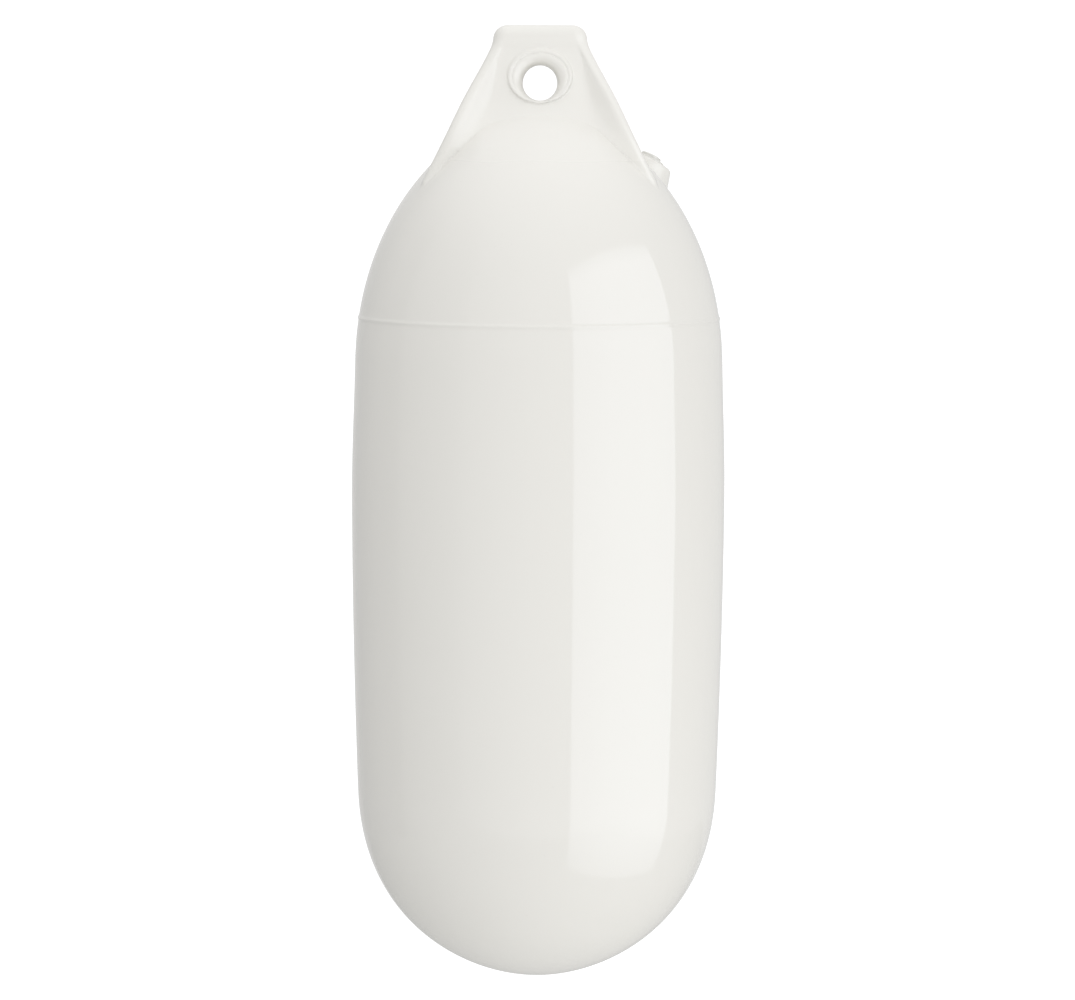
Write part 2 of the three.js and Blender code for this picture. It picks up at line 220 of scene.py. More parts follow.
def web_half_depth(x, z):
    """A curve that leans out faster the lower it gets, and falls away from its middle line."""
    below = WEB_TOP_Z - np.clip(z, WEB_LOW_Z, WEB_TOP_Z)
    crown = ease(-WEB_CROWN_HIGH_Z, -WEB_CROWN_LOW_Z, -z)
    fall = crown * x**2 / (2 * WEB_CROWN_RADIUS)
    return WEB_TOP_DEPTH + WEB_LEAN * below + WEB_CURL * below**2 - fall


def crest_half_depth(z):
    """An S from the narrow top down to the feet."""
    share = ease(-CREST_HIGH_Z, -CREST_LOW_Z, -z)
    return CREST_TOP_DEPTH + (CREST_FOOT_DEPTH - CREST_TOP_DEPTH) * share


def slope_edges(z):
    """Where the slope up to the crest starts and ends, across the lug."""
    crest = lug_half_width(z) - CREST_WIDTH
    return np.minimum(WEB_HALF_WIDTH - WEB_SPREAD * z, crest - WEB_LEAST_SLOPE_WIDTH), crest


def lug_half_depth(x, z):
    """Web in the middle, a straight slope up to the crests, and a bar across the top."""
    low, high = slope_edges(z)
    beside = soft_ramp((np.abs(x) - low) / (high - low), CREST_SOFTNESS)
    above = ease(BAR_LOW_Z, BAR_HIGH_Z, z)
    web = web_half_depth(x, z)
    return web + (crest_half_depth(z) - web) * (1 - (1 - beside) * (1 - above))


def lug_field(x, y, z):
    """The outline and the depth, each as a distance to its own surface, met in rounded edges."""
    across = np.abs(x)
    side = (across - lug_half_width(z)) / math.hypot(1, LUG_SPREAD)
    foot_width = LUG_TOP_HALF_WIDTH + LUG_SPREAD * (LUG_NECK_Z - LUG_FOOT_Z)
    under = (across - foot_width + LUG_TUCK * (LUG_FOOT_Z - z)) / math.hypot(1, LUG_TUCK)
    outline = rounded_meet(side, np.maximum(under, LUG_BASE_Z - z), CREST_EDGE_RADIUS)
    outline = rounded_meet(outline, z - LUG_TOP_Z, LUG_CORNER_RADIUS)
    depth = (np.abs(y) - lug_half_depth(x, z)) / math.hypot(1, LUG_FACE_SLOPE)
    upper = ease(TOP_EDGE_LOW_Z, TOP_EDGE_HIGH_Z, z)
    edge = CREST_EDGE_RADIUS + (TOP_EDGE_RADIUS - CREST_EDGE_RADIUS) * upper
    return rounded_meet(outline, depth, edge)


print(f"lug {2 * LUG_TOP_HALF_WIDTH:.1f} mm wide on top, {2 * CREST_FOOT_DEPTH:.0f} mm deep at its feet")

# %% [markdown]
# ## The rope eye
#
# The hole is worn by a rope from every direction, so it has no sharp edge: a narrow waist flares
# towards both faces like a dish, and each mouth is rolled over a raised collar. Mouth and collar are
# ovals, and each sits a little higher than the one inside it. The back is the mirror of the front.

# %% Rope eye
THROAT = (0.0, 6.8, 7.0)
MOUTH = (1.4, 10.2, 9.0)
COLLAR = (2.4, 12.7, 10.7)
COLLAR_PROUD, COLLAR_EDGE_RADIUS, COLLAR_FILLET, EYE_LIP_RADIUS = 1.3, 0.9, 0.8, 0.5
GROOVE_INSET, GROOVE_HALF_WIDTH, GROOVE_DEPTH = 1.7, 0.45, 0.4
FLARE_POWER, FLARE_OVERRUN = 7.0, 1.2
COLLAR_FACE_SLOPE = 0.35


def oval_distance(x, z, oval, share=1.0, start=THROAT):
    """Distance to an oval (height of its centre, half width, half height), to first order."""
    rise, wide, tall = (a + (b - a) * share for a, b in zip(start, oval))
    u, w = x / wide, (z - rise) / tall
    size = np.sqrt(u**2 + w**2) + 1e-6
    steep = np.sqrt((u / wide) ** 2 + (w / tall) ** 2) / size + 1e-6
    return (size - 1) / steep


def collar_face(z):
    """Depth of the collar's face: the web's middle line, plus the height of the collar."""
    return web_half_depth(0, z) + COLLAR_PROUD


def collar_field(x, y, z):
    """An oval plateau parallel to the web, with a rounded rim and a shallow groove inside it."""
    rim = oval_distance(x, z, COLLAR)
    groove = GROOVE_DEPTH * np.exp(-(((rim + GROOVE_INSET) / GROOVE_HALF_WIDTH) ** 2))
    face = (np.abs(y) - collar_face(z) + groove) / math.hypot(1, COLLAR_FACE_SLOPE)
    return rounded_meet(rim, face, COLLAR_EDGE_RADIUS)


def bore_field(x, y, z):
    """The hole: its oval grows from throat to mouth with a high power of the depth."""
    depth = np.clip(np.abs(y) / collar_face(z), 0, FLARE_OVERRUN)
    steep = FLARE_POWER * depth ** (FLARE_POWER - 1) * (MOUTH[1] - THROAT[1]) / collar_face(z)
    return oval_distance(x, z, MOUTH, depth**FLARE_POWER) / np.hypot(1, steep)


print(f"eye {2 * THROAT[1]:.1f} mm wide at the waist and {2 * collar_face(0.0):.1f} mm long")

# %% [markdown]
# ## The valve boss
#
# The boss is a short cone with a flat face, leaning outwards on the shoulder behind the lug's right
# foot. A hole in its face takes the valve's bush.

# %% Valve boss
BOSS_FACE = np.array([44.4, 25.0, -30.4])
BOSS_LEAN, BOSS_LEAN_BACK, BOSS_DRAFT = math.radians(26), math.radians(8), math.radians(15)
BOSS_TOP_RADIUS, BOSS_HEIGHT, BOSS_EDGE_RADIUS, BOSS_FILLET = 9.8, 20.0, 0.9, 0.8
BUSH_RADIUS, BUSH_LENGTH, CLEARANCE = 4.6, 9.0, 0.3

boss_axis = np.array([math.tan(BOSS_LEAN), math.tan(BOSS_LEAN_BACK), 1.0])
boss_axis /= np.linalg.norm(boss_axis)
print("boss axis:", boss_axis.round(3))


def boss_coordinates(x, y, z):
    """Height above the boss's face along its axis, and distance from that axis."""
    dx, dy, dz = x - BOSS_FACE[0], y - BOSS_FACE[1], z - BOSS_FACE[2]
    along = dx * boss_axis[0] + dy * boss_axis[1] + dz * boss_axis[2]
    across = np.sqrt(np.maximum(dx**2 + dy**2 + dz**2 - along**2, 0))
    return along, across


def boss_field(x, y, z):
    """A cone that widens below its face, cut off flat at both ends, with a rounded rim."""
    along, across = boss_coordinates(x, y, z)
    wall = (across - BOSS_TOP_RADIUS + along * math.tan(BOSS_DRAFT)) * math.cos(BOSS_DRAFT)
    ends = np.maximum(along, -along - BOSS_HEIGHT)
    return rounded_meet(wall, ends, BOSS_EDGE_RADIUS)


def valve_hole_field(x, y, z):
    """A blind round hole, a clearance wider and deeper than the bush."""
    along, across = boss_coordinates(x, y, z)
    return np.maximum(across - BUSH_RADIUS - CLEARANCE, -along - BUSH_LENGTH - CLEARANCE)


# %% [markdown]
# ## The whole moulding
#
# Where web and dome meet, the real lug has a low welt: a strip that slopes from the web down onto
# the dome, with a faint crease along either edge. It is a skewed chamfer, wide on the dome and short
# on the web. It widens away from the middle, and it runs out at the feet. All the forms join into
# one field, and the holes are taken out at the end.

# %% Whole moulding
ROOT_FILLET = 0.8
WELT_REACH, WELT_WIDENING, WELT_RISE, WELT_FILLET, WELT_RUN_OUT = 5.5, 0.010, 2.2, 0.3, 1.0


def welt_field(body, lug, x, outside):
    """A slant in the two distances: lug / reach + body / rise = 1, pulled in outside the web.

    The reach grows with the square of x.
    """
    reach = WELT_REACH + WELT_WIDENING * x**2
    return (lug / reach + body / WELT_RISE - 1 + outside) / np.hypot(1 / reach, 1 / WELT_RISE)


def moulding_field(x, y, z):
    """Body, lug, welt, boss and collar joined, then opened by rope hole and valve hole."""
    low, high = slope_edges(z)
    outside = ease(low, high + WELT_RUN_OUT, np.abs(x))
    body, lug = body_field(x, y, z), lug_field(x, y, z)
    skin = rounded_join(body, lug, ROOT_FILLET)
    skin = rounded_join(skin, welt_field(body, lug, x, outside), WELT_FILLET)
    skin = rounded_join(skin, boss_field(x, y, z), BOSS_FILLET)
    skin = rounded_join(skin, collar_field(x, y, z), COLLAR_FILLET)
    skin = rounded_meet(skin, -bore_field(x, y, z), EYE_LIP_RADIUS)
    return np.maximum(skin, -valve_hole_field(x, y, z))


print(f"1 mm outside the belly the field is {moulding_field(BELLY_RADIUS + 1.0, 0.0, BELLY_Z):.2f}")

# %% [markdown]
# ## From a field to a mesh
#
# The skin is where the field is zero. It is found on a grid of points, spaced finely round the eye
# and coarsely along the barrel: each box of the grid that the skin crosses gets one vertex, and each
# grid edge that it crosses gets one quad between the four boxes round it. That is the method called
# surface nets, done here with whole arrays. Then the vertices are evened out among their neighbours
# and dropped back onto the skin along the field's gradient, which also gives exact normals.

# %% Grid and gradient
LONGEST_STEP = 0.5


def spaced(*stretches):
    """Grid positions made of stretches (start, end, step), each a whole number of equal steps."""
    parts = []
    for start, end, step in stretches:
        count = max(1, round(abs(end - start) / step))
        parts.append(np.linspace(start, end, count + 1))
    return np.unique(np.round(np.concatenate(parts), 6))


def gradient(field, points, step=0.02):
    """Central differences of the field along the three axes."""
    parts = []
    for axis in range(3):
        shift = np.zeros(3)
        shift[axis] = step
        ahead = field(*(points + shift).T)
        behind = field(*(points - shift).T)
        parts.append((ahead - behind) / (2 * step))
    return np.stack(parts, axis=1)


def onto_skin(field, points, rounds):
    """Newton steps along the gradient, each no longer than LONGEST_STEP."""
    for _ in range(rounds):
        slope = gradient(field, points)
        size = np.maximum((slope**2).sum(axis=1), 1e-6)
        step = np.clip(field(*points.T) / np.sqrt(size), -LONGEST_STEP, LONGEST_STEP)
        points = points - slope * (step / np.sqrt(size))[:, None]
    return points


# %% Vertices and quads
EVENING_SHARE = 0.5


def crossing_vertices(values, axes):
    """One point for each grid box that the skin crosses: the mean of its edges' crossings."""
    shape = np.array(values.shape) - 1
    total = np.zeros((*shape, 3))
    count = np.zeros(shape)
    grids = np.meshgrid(*axes, indexing="ij")
    for axis in range(3):
        low = [slice(None)] * 3
        high = [slice(None)] * 3
        low[axis], high[axis] = slice(None, -1), slice(1, None)
        a, b = values[tuple(low)], values[tuple(high)]
        crossed = (a < 0) != (b < 0)
        share = np.where(crossed, a / np.where(crossed, a - b, 1), 0)
        place = [g[tuple(low)] + share * (g[tuple(high)] - g[tuple(low)]) for g in grids]
        others = [i for i in range(3) if i != axis]
        for first in (slice(None, -1), slice(1, None)):
            for second in (slice(None, -1), slice(1, None)):
                pick = [slice(None)] * 3
                pick[others[0]], pick[others[1]] = first, second
                hit = crossed[tuple(pick)]
                count += hit
                for i in range(3):
                    total[..., i] += np.where(hit, place[i][tuple(pick)], 0)
    used = count > 0
    return used, total[used] / count[used][:, None]


def crossing_quads(values, used):
    """Four vertex numbers for each grid edge that the skin crosses, turned to face outwards."""
    number = np.full(used.shape, -1)
    number[used] = np.arange(used.sum())
    quads = []
    for axis in range(3):
        low = [slice(1, -1)] * 3
        high = [slice(1, -1)] * 3
        low[axis], high[axis] = slice(None, -1), slice(1, None)
        inside_low = values[tuple(low)] < 0
        inside_high = values[tuple(high)] < 0
        others = [(axis + 1) % 3, (axis + 2) % 3]
        corners = []
        for first, second in ((0, 0), (1, 0), (1, 1), (0, 1)):
            pick = [slice(None)] * 3
            for other, side in zip(others, (first, second)):
                pick[other] = slice(1, None) if side else slice(None, -1)
            corners.append(number[tuple(pick)])
        corners = np.stack(corners, axis=-1)
        quads.append(corners[inside_low & ~inside_high])
        quads.append(corners[~inside_low & inside_high][:, ::-1])
    return np.concatenate(quads)


def evened(points, quads):
    """Each point moved EVENING_SHARE of the way to the mean of the points at its edges' ends."""
    ends = np.concatenate([quads, np.roll(quads, -1, axis=1)], axis=0).ravel()
    others = np.concatenate([np.roll(quads, -1, axis=1), quads], axis=0).ravel()
    count = np.bincount(ends, minlength=len(points))
    mean = np.stack([
        np.bincount(ends, weights=points[others, i], minlength=len(points)) for i in range(3)
    ], axis=1) / count[:, None]
    return points + EVENING_SHARE * (mean - points)


# %% From skin to mesh
FIRST_NEWTON_STEPS, LATER_NEWTON_STEPS = 3, 2


def skin_mesh(name, field, axes, rounds=6, origin=(0, 0, 0), turn=np.eye(3)):
    """The zero skin of a field as a smooth Blender mesh, with normals from the gradient.

    The field's own axes are the rows of turn, and its zero point is origin: p = origin + q turn.
    """
    grids = np.meshgrid(*axes, indexing="ij")
    values = np.empty(grids[0].shape)
    for i in range(values.shape[0]):
        values[i] = field(*(g[i] for g in grids))
    used, points = crossing_vertices(values, axes)
    quads = crossing_quads(values, used)
    points = onto_skin(field, points, FIRST_NEWTON_STEPS)
    for _ in range(rounds):
        points = onto_skin(field, evened(points, quads), LATER_NEWTON_STEPS)
    normals = gradient(field, points)
    normals /= np.maximum(np.linalg.norm(normals, axis=1), 1e-9)[:, None]
    points = np.array(origin) + points @ turn
    normals = normals @ turn
    mesh = bpy.data.meshes.new(name)
    mesh.from_pydata((points * MM).tolist(), [], quads.tolist())
    mesh.polygons.foreach_set("use_smooth", np.ones(len(quads), bool))
    mesh.normals_split_custom_set_from_vertices(normals.tolist())
    mesh.update()
    made = bpy.data.objects.new(name, mesh)
    bpy.context.scene.collection.objects.link(made)
    print(f"{name}: {len(quads)} quads")
    return made


# %% The moulding's skin
# Steps are finest round the eye, fine over the lug, the boss and the ridge, and coarse elsewhere
moulding_axes = (
    spaced((-79, -40, 2.4), (-40, -14, 1.0), (-14, 14, 0.56), (14, 40, 1.0), (40, 56, 1.4),
           (56, 79, 2.4)),
    spaced((-79, -28, 2.4), (-28, -18, 1.0), (-18, 18, 0.75), (18, 28, 1.0), (28, 79, 2.4)),
    spaced((-364, -350, 2), (-350, -284, 3), (-284, -97, 7), (-97, -94.5, 1), (-94.5, -90.7, 0.5),
           (-90.7, -56, 2.6), (-56, -40, 1.5), (-40, -12, 0.8), (-12, 16, 0.56), (16, 25, 0.8)),
)
buoy_skin = skin_mesh("buoy_skin", moulding_field, moulding_axes)

# %% [markdown]
# ## The valve
#
# Air goes in through a nylon bush pressed into the boss, and a slotted screw closes it. Both are
# turned pieces, so their fields need only two numbers: the height w along the boss's axis and the
# distance r from it. The screw's slot adds a third, the distance across the slot. Flange and head
# rest a twentieth of a millimetre clear of their seats, so that no dark line shows under them. Both
# are meshed upright, where a fine grid fits them closely, and then turned onto the boss.

# %% Valve
SEAT_GAP = 0.05
BUSH_FLANGE_RADIUS, BUSH_FLANGE_THICKNESS, BUSH_EDGE, BUSH_END_EDGE = 6.0, 1.05, 0.3, 0.7
SCREW_HEAD_RADIUS, SCREW_HEAD_THICKNESS, SCREW_HEAD_EDGE = 4.2, 1.55, 0.5
SCREW_RADIUS, SCREW_LENGTH, SCREW_END_EDGE = 2.4, 6.5, 0.5
SLOT_WIDTH, SLOT_DEPTH, SLOT_EDGE = 1.4, 0.8, 0.12
BUSH_NECK_FILLET, BUSH_BORE_EDGE, SCREW_NECK_FILLET, SHANK_OVERLAP = 0.2, 0.15, 0.3, 0.5
BUSH_FACE = SEAT_GAP + BUSH_FLANGE_THICKNESS
SCREW_SEAT = BUSH_FACE + SEAT_GAP
HEAD_CROWN = 0.25


def disc(r, w, radius, low, high, edge):
    """A cylinder between two heights, with rounded rims."""
    ends = np.maximum(w - high, low - w)
    return rounded_meet(r - radius, ends, edge)


def bush_field(u, v, w):
    """A flange on a barrel, joined, and opened by the screw's bore."""
    r = np.hypot(u, v)
    flange = disc(r, w, BUSH_FLANGE_RADIUS, SEAT_GAP, BUSH_FACE, BUSH_EDGE)
    barrel = disc(r, w, BUSH_RADIUS, -BUSH_LENGTH, BUSH_FACE - BUSH_EDGE, BUSH_END_EDGE)
    bore = np.maximum(r - SCREW_RADIUS - CLEARANCE, BUSH_FACE - SCREW_LENGTH - w)
    return rounded_meet(rounded_join(flange, barrel, BUSH_NECK_FILLET), -bore, BUSH_BORE_EDGE)


def screw_field(u, v, w):
    """A head with a slightly crowned top over a shank, less the slot that runs along u."""
    r = np.hypot(u, v)
    top = SCREW_SEAT + SCREW_HEAD_THICKNESS - HEAD_CROWN * (r / SCREW_HEAD_RADIUS) ** 2
    head = rounded_meet(r - SCREW_HEAD_RADIUS, np.maximum(w - top, SCREW_SEAT - w), SCREW_HEAD_EDGE)
    shank_low, shank_high = SCREW_SEAT - SCREW_LENGTH, SCREW_SEAT + SHANK_OVERLAP
    shank = disc(r, w, SCREW_RADIUS, shank_low, shank_high, SCREW_END_EDGE)
    slot_floor = SCREW_SEAT + SCREW_HEAD_THICKNESS - SLOT_DEPTH
    slot = np.maximum(np.abs(v) - SLOT_WIDTH / 2, slot_floor - w)
    return rounded_meet(rounded_join(head, shank, SCREW_NECK_FILLET), -slot, SLOT_EDGE)


upright = np.array([0.0, 1.0, 0.0])
halfway = upright + boss_axis
slot_axis = np.array([1.0, 0, 0]) - halfway * boss_axis[0] / (1 + boss_axis[1])
boss_turn = np.array([slot_axis, np.cross(boss_axis, slot_axis), boss_axis])
bush_axes = (spaced((-6.6, 6.6, 0.3)), spaced((-6.6, 6.6, 0.3)),
             spaced((-9.6, -8, 0.25), (-8, -0.5, 0.5), (-0.5, 1.6, 0.15)))
screw_axes = (spaced((-4.8, 4.8, 0.2)), spaced((-4.8, -1.2, 0.2), (-1.2, 1.2, 0.1), (1.2, 4.8, 0.2)),
              spaced((-5.7, -4.3, 0.2), (-4.3, 1, 0.5), (1, 3.1, 0.1)))
valve_bush_skin = skin_mesh("valve_bush_skin", bush_field, bush_axes, 4, BOSS_FACE, boss_turn)
valve_screw_skin = skin_mesh("valve_screw_skin", screw_field, screw_axes, 4, BOSS_FACE, boss_turn)

# %% [markdown]
# ## One group for all the moulded plastics
#
# Vinyl and nylon come out of a mould with the same kinds of unevenness, only in other sizes: soft
# clouds in the colour, a few specks, patches that shine a little less, long ripples where the wall
# shrank, and a fine grain. A node group holds them once. Its inputs are sizes and amounts, and it
# puts out a colour, a roughness and a height. Sizes are in repeats a metre and heights in metres, so
# that each value can be measured on the real thing.

# %% Moulded surface group
SPECK_CELLS_A_METRE, SPECK_CORE, SPECK_EDGE, SPECKLESS_SHARE = 300.0, 0.05, 0.09, 0.86
CLOUD_DETAIL, PATCH_DETAIL, RIPPLE_DETAIL, GRAIN_DETAIL = 3.0, 6.0, 1.0, 2.0
# Below 1 upright, so that the duller patches are longer up and down than across
PATCH_SCALE = (1.0, 1.0, 0.35)
moulded = bpy.data.node_groups.new("moulded_surface", "ShaderNodeTree")


def group_socket(name, kind, way, value=None):
    """One named input or output of the moulded_surface group."""
    socket = moulded.interface.new_socket(name, in_out=way, socket_type="NodeSocket" + kind)
    if value is not None:
        socket.default_value = value


group_socket("Colour", "Color", "INPUT", (0.8, 0.8, 0.8, 1))
group_socket("Roughness", "Float", "INPUT", 0.3)
for socket_name in ("Cloud Size", "Cloud Amount", "Speck Amount", "Roughness Change",
                    "Ripple Size", "Ripple Height", "Grain Size", "Grain Height"):
    group_socket(socket_name, "Float", "INPUT", 0.0)
group_socket("Colour", "Color", "OUTPUT")
group_socket("Roughness", "Float", "OUTPUT")
group_socket("Height", "Float", "OUTPUT")


def node(tree, kind, links_in=None, **values):
    """A node with attributes set by name, and inputs joined to sockets or set to values."""
    made = tree.nodes.new("ShaderNode" + kind)
    for name, value in values.items():
        setattr(made, name, value)
    for key, value in (links_in or {}).items():
        if isinstance(value, bpy.types.NodeSocket):
            tree.links.new(value, made.inputs[key])
        else:
            made.inputs[key].default_value = value
    return made


def noise(tree, place, size, detail):
    """Noise from 0 to 1 with its mean at 0.5, at a number of repeats a metre."""
    made = node(tree, "TexNoise", {"Vector": place, "Scale": size, "Detail": detail})
    return made.outputs["Fac"]


def swing(tree, value, middle, amount):
    """middle + amount times (2 value less 1): a value that swings round its middle."""
    centred = node(tree, "Math", {0: value, 1: 2.0, 2: -1.0}, operation="MULTIPLY_ADD")
    made = node(tree, "Math", {0: centred.outputs[0], 1: amount, 2: middle}, operation="MULTIPLY_ADD")
    return made.outputs[0]


given = moulded.nodes.new("NodeGroupInput").outputs
put_out = moulded.nodes.new("NodeGroupOutput").inputs
place = node(moulded, "TexCoord").outputs["Object"]

clouds = noise(moulded, place, given["Cloud Size"], CLOUD_DETAIL)
cloud = swing(moulded, clouds, 1.0, given["Cloud Amount"])
cells = node(moulded, "TexVoronoi", {"Vector": place, "Scale": SPECK_CELLS_A_METRE})
dot = node(moulded, "MapRange", {"Value": cells.outputs["Distance"], "From Min": SPECK_CORE,
                                 "From Max": SPECK_EDGE, "To Min": 1.0, "To Max": 0.0})
chosen = node(moulded, "SeparateColor", {"Color": cells.outputs["Color"]})
few = node(moulded, "Math", {0: chosen.outputs["Red"], 1: SPECKLESS_SHARE}, operation="GREATER_THAN")
speck = node(moulded, "Math", {0: dot.outputs[0], 1: few.outputs[0]}, operation="MULTIPLY")
darkening = node(moulded, "Math", {0: speck.outputs[0], 1: given["Speck Amount"]},
                 operation="MULTIPLY")
shade = node(moulded, "Math", {0: cloud, 1: darkening.outputs[0]}, operation="SUBTRACT")
tinted = node(moulded, "VectorMath", {0: given["Colour"], "Scale": shade.outputs[0]},
              operation="SCALE")
moulded.links.new(tinted.outputs[0], put_out["Colour"])

patches = node(moulded, "Mapping", {"Vector": place, "Scale": PATCH_SCALE})
dulling = noise(moulded, patches.outputs[0], given["Cloud Size"], PATCH_DETAIL)
moulded.links.new(swing(moulded, dulling, given["Roughness"], given["Roughness Change"]),
                  put_out["Roughness"])

ripple = node(moulded, "Math", {0: noise(moulded, place, given["Ripple Size"], RIPPLE_DETAIL),
                                1: given["Ripple Height"]}, operation="MULTIPLY")
grain = node(moulded, "Math", {0: noise(moulded, place, given["Grain Size"], GRAIN_DETAIL),
                               1: given["Grain Height"]}, operation="MULTIPLY")
height = node(moulded, "Math", {0: ripple.outputs[0], 1: grain.outputs[0]}, operation="ADD")
moulded.links.new(height.outputs[0], put_out["Height"])
print(f"moulded_surface: {len(moulded.nodes)} nodes")

# %% [markdown]
# ## Vinyl and nylon
#
# The body's vinyl is off-white and glossy, like a stretched balloon, so it shows the softbox with
# a crisp edge. The thick lug was not stretched: there the skin keeps the satin grain of the mould.
# The lug is also painted a little paler: painted light, standing for the brighter light that falls on
# it. Both changes lie along the dome, so they share a soft mask by height. Bush and
# screw are a light grey nylon, each with its own amounts.

# %% Moulded material
def moulded_material(name, amounts):
    """A Principled material fed by the moulded_surface group; returns the material and its nodes."""
    made = bpy.data.materials.new(name)
    made.use_nodes = True
    tree = made.node_tree
    shader = tree.nodes["Principled BSDF"]
    surface = tree.nodes.new("ShaderNodeGroup")
    surface.node_tree = moulded
    for key, value in amounts.items():
        surface.inputs[key].default_value = value
    relief = node(tree, "Bump", {"Height": surface.outputs["Height"], "Distance": 1.0})
    tree.links.new(surface.outputs["Colour"], shader.inputs["Base Color"])
    tree.links.new(surface.outputs["Roughness"], shader.inputs["Roughness"])
    tree.links.new(relief.outputs["Normal"], shader.inputs["Normal"])
    return made, surface, shader


# %% Vinyl
vinyl, vinyl_surface, vinyl_shader = moulded_material("vinyl", {
    "Colour": (0.82, 0.808, 0.770, 1), "Roughness": 0.055, "Cloud Size": 14.0, "Cloud Amount": 0.008,
    "Speck Amount": 0.05, "Roughness Change": 0.02, "Ripple Size": 22.0, "Ripple Height": 0.00004,
    "Grain Size": 1500.0, "Grain Height": 0.000001})
# The last value scales up the lug's colour: painted light, not a paler vinyl.
SATIN_LOW_Z, SATIN_HIGH_Z, SATIN_ROUGHNESS, LUG_PAINTED_LIGHT_GAIN = -75 * MM, -15 * MM, 0.26, 1.03


def up_the_dome(tree, low, high):
    """A value that goes from low on the glossy body to high on the satin lug, in a smooth S."""
    height_above = node(tree, "SeparateXYZ", {0: node(tree, "TexCoord").outputs["Object"]})
    made = node(tree, "MapRange", {
        "Value": height_above.outputs["Z"], "From Min": SATIN_LOW_Z, "From Max": SATIN_HIGH_Z,
        "To Min": low, "To Max": high}, interpolation_type="SMOOTHSTEP")
    return made.outputs[0]


vinyl_tree = vinyl.node_tree
rougher = node(vinyl_tree, "Math", {
    0: vinyl_surface.outputs["Roughness"], 1: up_the_dome(vinyl_tree, 0.0, SATIN_ROUGHNESS)})
vinyl_tree.links.new(rougher.outputs[0], vinyl_shader.inputs["Roughness"])
# Painted light: the lug's colour is scaled up over the same height mask, standing in for the brighter
# light that falls on the lug.
painted_lug_light = node(vinyl_tree, "VectorMath", {
    0: vinyl_surface.outputs["Colour"], "Scale": up_the_dome(vinyl_tree, 1.0, LUG_PAINTED_LIGHT_GAIN)},
    operation="SCALE")
vinyl_tree.links.new(painted_lug_light.outputs[0], vinyl_shader.inputs["Base Color"])

# %% Nylon and the finished pieces
bush_nylon, _, _ = moulded_material("bush_nylon", {
    "Colour": (0.785, 0.777, 0.742, 1), "Roughness": 0.38, "Cloud Size": 120.0, "Cloud Amount": 0.04,
    "Speck Amount": 0.05, "Roughness Change": 0.08, "Ripple Size": 300.0, "Ripple Height": 0.00002,
    "Grain Size": 4000.0, "Grain Height": 0.000006})
screw_nylon, _, _ = moulded_material("screw_nylon", {
    "Colour": (0.755, 0.748, 0.715, 1), "Roughness": 0.42, "Cloud Size": 150.0, "Cloud Amount": 0.05,
    "Speck Amount": 0.05, "Roughness Change": 0.1, "Ripple Size": 350.0, "Ripple Height": 0.00002,
    "Grain Size": 4500.0, "Grain Height": 0.000006})

for piece, material, cad_node, slot in (
        (buoy_skin, vinyl, "buoy_body", "vinyl"),
        (valve_bush_skin, bush_nylon, "valve_bush", "valve_bush_nylon"),
        (valve_screw_skin, screw_nylon, "valve_screw", "valve_screw_nylon")):
    piece.data.materials.append(material)
    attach(piece, "root")
    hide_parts(cad_node)
    print(f"{piece.name} finished in {material.name}")

# %% [markdown]
# ## The studio
#
# The room is a ring of pale walls: brightest in front and grey on the left, where a narrow dark
# stretch gives the body its faint upright edge near the left rim. It is written as a list of
# directions, measured round from the camera towards the right, and their brightness. Its two ends
# meet straight behind the buoy, where only the very rim reflects them. The walls fade into an even
# ceiling, because overhead they would all meet in one point, and the dome would show it. The camera
# itself sees white paper instead of the room.

# %% Room
bpy.context.scene.view_settings.view_transform = "Standard"
ROOM_WALLS = ((-180, 0.85), (-140, 0.5), (-115, 0.46), (-97, 0.28), (-93, 0.48), (-52, 0.5),
              (-46, 0.72), (0, 0.91), (60, 0.77), (130, 0.68), (180, 0.65))
CEILING, CEILING_LOW, CEILING_HIGH = 1.0, 0.45, 0.95
PAPER_BRIGHTNESS = 1.2

world = bpy.data.worlds.new("studio")
bpy.context.scene.world = world
world.use_nodes = True


def ramp(tree, value, stops):
    """A ColorRamp in greys through (position, brightness) stops."""
    made = node(tree, "ValToRGB", {"Fac": value})
    elements = made.color_ramp.elements
    while len(elements) < len(stops):
        elements.new(0.5)
    for element, (position, level) in zip(elements, stops):
        element.position = position
        element.color = (level, level, level, 1)
    return made.outputs["Color"]


def room_walls(walls):
    """Brightness round the room: the direction's angle from the camera, over a full turn, as u."""
    tree = world.node_tree
    direction = node(tree, "TexCoord").outputs["Generated"]
    turned = node(tree, "Mapping", {"Vector": direction, "Rotation": (0, 0, math.pi / 2)})
    angle = node(tree, "TexGradient", {"Vector": turned.outputs[0]}, gradient_type="RADIAL")
    stops = [(0.5 + azimuth / 360, level) for azimuth, level in walls]
    return ramp(tree, angle.outputs["Fac"], stops)


def with_ceiling(walls):
    """The walls below, an even grey overhead, and a smooth S between by the direction's height."""
    tree = world.node_tree
    direction = node(tree, "SeparateXYZ", {0: node(tree, "TexCoord").outputs["Generated"]})
    share = node(tree, "MapRange", {
        "Value": direction.outputs["Z"], "From Min": CEILING_LOW, "From Max": CEILING_HIGH},
        interpolation_type="SMOOTHSTEP")
    # The Mix node's colour sockets are inputs 6 and 7 and output 2
    mixed = node(tree, "Mix", {0: share.outputs[0]}, data_type="RGBA")
    tree.links.new(walls, mixed.inputs[6])
    mixed.inputs[7].default_value = (CEILING, CEILING, CEILING, 1)
    return mixed.outputs[2]


